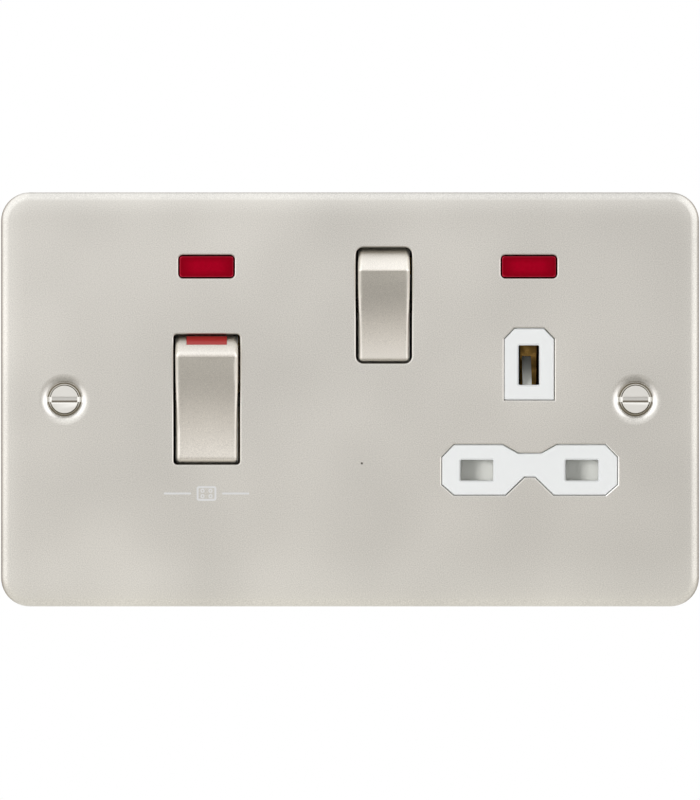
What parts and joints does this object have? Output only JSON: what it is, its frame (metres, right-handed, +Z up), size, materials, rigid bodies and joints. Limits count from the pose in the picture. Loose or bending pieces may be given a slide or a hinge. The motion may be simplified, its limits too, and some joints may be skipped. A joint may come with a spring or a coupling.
{
  "type": "cooker control unit",
  "caption": "Flush two-gang wall unit with a satin metal plate: a large cooker switch rocker, a switched three-pin socket and red neon windows, with its works behind.",
  "frame": {"origin": "centre of the plate in the wall plane, at the back of the plate's rim", "axes": "+X to the right seen from the front, +Y into the wall, +Z up"},
  "size_m": [0.1474, 0.0311, 0.0874],
  "materials": {
    "satin_nickel_plate": "satin",
    "nickel_screws": "turned",
    "white_moulding": "satin",
    "grey_plastic": "matte",
    "black_plastic": "matte",
    "red_lens": "gloss",
    "red_flag": "satin",
    "lamp_glass": "clear",
    "resistor_body": "satin",
    "tinned_wire": "satin",
    "zinc_screws": "zinc plated",
    "spring_steel": "drawn wire",
    "brass": "milled"
  },
  "bodies": {
    "unit": {"front_plate": "satin_nickel_plate", "front_moulding": "white_moulding", "rear_housing": "white_moulding", "contact_carrier": "white_moulding", "cooker_neon_lens": "red_lens", "socket_neon_lens": "red_lens", "cooker_neon_lamp": "lamp_glass", "socket_neon_lamp": "lamp_glass", "neon_resistors": "resistor_body", "neon_leads": "tinned_wire", "fixing_screws": "nickel_screws", "assembly_screws": "zinc_screws", "terminal_screws": "zinc_screws", "earth_screw": "zinc_screws", "earth_pillar": "zinc_screws", "cooker_switch_frame": "black_plastic", "socket_switch_frame": "black_plastic", "shutter_spring": "spring_steel", "cooker_fixed_contact_neutral": "brass", "cooker_fixed_contact_line": "brass", "socket_fixed_contact": "brass", "cooker_fulcrum_neutral": "brass", "cooker_fulcrum_line": "brass", "socket_fulcrum": "brass", "line_busbar": "brass", "neutral_busbar": "brass", "earth_strap": "brass", "line_clip": "brass", "neutral_clip": "brass", "earth_clip": "brass", "load_neutral_terminal": "brass", "load_line_terminal": "brass", "load_earth_terminal": "brass", "supply_neutral_terminal": "brass", "supply_line_terminal": "brass", "supply_earth_terminal": "brass"},
    "cooker_rocker": {"cooker_rocker_cap": "satin_nickel_plate", "cooker_on_flag": "red_flag", "cooker_rocker_dolly": "black_plastic", "cooker_plunger_springs": "spring_steel"},
    "cooker_plunger_neutral": {"cooker_plunger_neutral": "black_plastic"},
    "cooker_plunger_line": {"cooker_plunger_line": "black_plastic"},
    "cooker_arm_neutral": {"cooker_contact_arm_neutral": "brass"},
    "cooker_arm_line": {"cooker_contact_arm_line": "brass"},
    "socket_rocker": {"socket_rocker_cap": "satin_nickel_plate", "socket_rocker_dolly": "black_plastic", "socket_plunger_spring": "spring_steel"},
    "socket_plunger": {"socket_plunger": "black_plastic"},
    "socket_arm": {"socket_contact_arm": "brass"},
    "shutter": {"socket_shutter": "grey_plastic"}
  },
  "joints": [
    {"name": "cooker_rocker_tilt", "type": "hinge", "parent": "unit", "child": "cooker_rocker", "pos_m": [-0.03025, 0.00476, 0], "axis": [-1, 0, 0], "range_deg": [0, 20]},
    {"name": "cooker_arm_neutral_rock", "type": "hinge", "parent": "unit", "child": "cooker_arm_neutral", "pos_m": [-0.03445, 0.0148, 0], "axis": [1, 0, 0], "range_deg": [0, 16]},
    {"name": "cooker_arm_line_rock", "type": "hinge", "parent": "unit", "child": "cooker_arm_line", "pos_m": [-0.02605, 0.0148, 0], "axis": [1, 0, 0], "range_deg": [0, 16]},
    {"name": "socket_rocker_tilt", "type": "hinge", "parent": "unit", "child": "socket_rocker", "pos_m": [0.00716, 0.0045, 0.01986], "axis": [-1, 0, 0], "range_deg": [0, 24]},
    {"name": "socket_arm_rock", "type": "hinge", "parent": "unit", "child": "socket_arm", "pos_m": [0.00716, 0.01454, 0.01986], "axis": [1, 0, 0], "range_deg": [0, 16]},
    {"name": "cooker_plunger_neutral_slide", "type": "slide", "parent": "cooker_rocker", "child": "cooker_plunger_neutral", "axis": [0, -0.9848, -0.1736], "range_m": [0, 0.001], "stiffness_N_per_m": 300, "springref_m": -0.002},
    {"name": "cooker_plunger_line_slide", "type": "slide", "parent": "cooker_rocker", "child": "cooker_plunger_line", "axis": [0, -0.9848, -0.1736], "range_m": [0, 0.001], "stiffness_N_per_m": 300, "springref_m": -0.002},
    {"name": "socket_plunger_slide", "type": "slide", "parent": "socket_rocker", "child": "socket_plunger", "axis": [0, -0.9781, -0.2079], "range_m": [0, 0.001], "stiffness_N_per_m": 300, "springref_m": -0.002},
    {"name": "shutter_slide", "type": "slide", "parent": "unit", "child": "shutter", "axis": [0, 0, -1], "range_m": [0, 0.0065], "stiffness_N_per_m": 60, "springref_m": -0.004, "deforming": ["shutter_spring"]}
  ],
  "couplings": [
    {"joint": "cooker_arm_neutral_rock", "follows": "cooker_rocker_tilt", "ratio": 0.8},
    {"joint": "cooker_arm_line_rock", "follows": "cooker_rocker_tilt", "ratio": 0.8},
    {"joint": "socket_arm_rock", "follows": "socket_rocker_tilt", "ratio": 0.6666}
  ]
}
